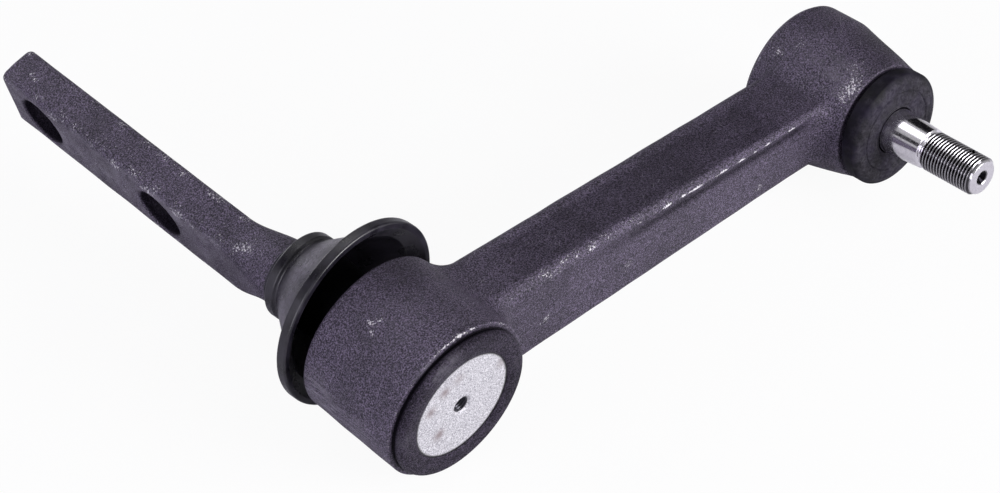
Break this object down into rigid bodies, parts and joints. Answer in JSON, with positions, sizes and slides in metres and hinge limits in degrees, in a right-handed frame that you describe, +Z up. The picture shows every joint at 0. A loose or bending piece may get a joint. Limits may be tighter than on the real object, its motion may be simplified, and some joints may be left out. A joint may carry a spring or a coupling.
{
  "type": "idler arm",
  "caption": "Forged steering idler arm with a booted pivot bracket that has bolt holes, and a sealed ball stud.",
  "frame": {"origin": "on the surface the part lies on, under the middle of its bounding box", "axes": "+Z up; +X from the pivot barrel to the ball socket; +Y close to the pivot axis, from the cover to the bracket's bar"},
  "size_m": [0.2986, 0.2878, 0.0732],
  "materials": {
    "forged_steel": "as forged, dark",
    "bright_steel": "machined bright",
    "plated_cover": "satin plated",
    "black_rubber": "satin moulded",
    "bearing_metal": "sintered, oiled",
    "spring_steel": "hardened"
  },
  "bodies": {
    "arm": {"arm_forging": "forged_steel", "pivot_cover": "plated_cover", "pivot_spring": "spring_steel", "pivot_thrust_plate": "bearing_metal", "pivot_front_bearing": "bearing_metal", "pivot_rear_bushing": "bearing_metal", "pivot_grease_seal": "black_rubber", "ball_seat_front": "bearing_metal", "socket_spring": "spring_steel", "socket_cover": "plated_cover"},
    "bracket": {"idler_bracket": "forged_steel", "pivot_boot": "black_rubber"},
    "rear_seat": {"ball_seat_rear": "bearing_metal"},
    "seal": {"stud_seal": "black_rubber"},
    "stud": {"ball_stud": "bright_steel"}
  },
  "joints": [
    {"name": "bracket_pivot", "type": "hinge", "parent": "arm", "child": "bracket", "pos_m": [-0.11437, -0.06742, 0.03324], "axis": [0.0001, 0.9962, 0.0867], "continuous": true},
    {"name": "seat_turn", "type": "hinge", "parent": "arm", "child": "rear_seat", "pos_m": [0.11743, -0.07536, 0.03186], "axis": [0.0584, 0.9967, -0.0566], "continuous": true},
    {"name": "stud_tilt", "type": "hinge", "parent": "rear_seat", "child": "seal", "pos_m": [0.11743, -0.07536, 0.03186], "axis": [0.9982, -0.059, -0.0081], "range_deg": [-12, 12], "deforming": ["stud_seal"]},
    {"name": "stud_turn", "type": "hinge", "parent": "seal", "child": "stud", "pos_m": [0.11743, -0.07536, 0.03186], "axis": [0.0584, 0.9967, -0.0566], "continuous": true}
  ]
}
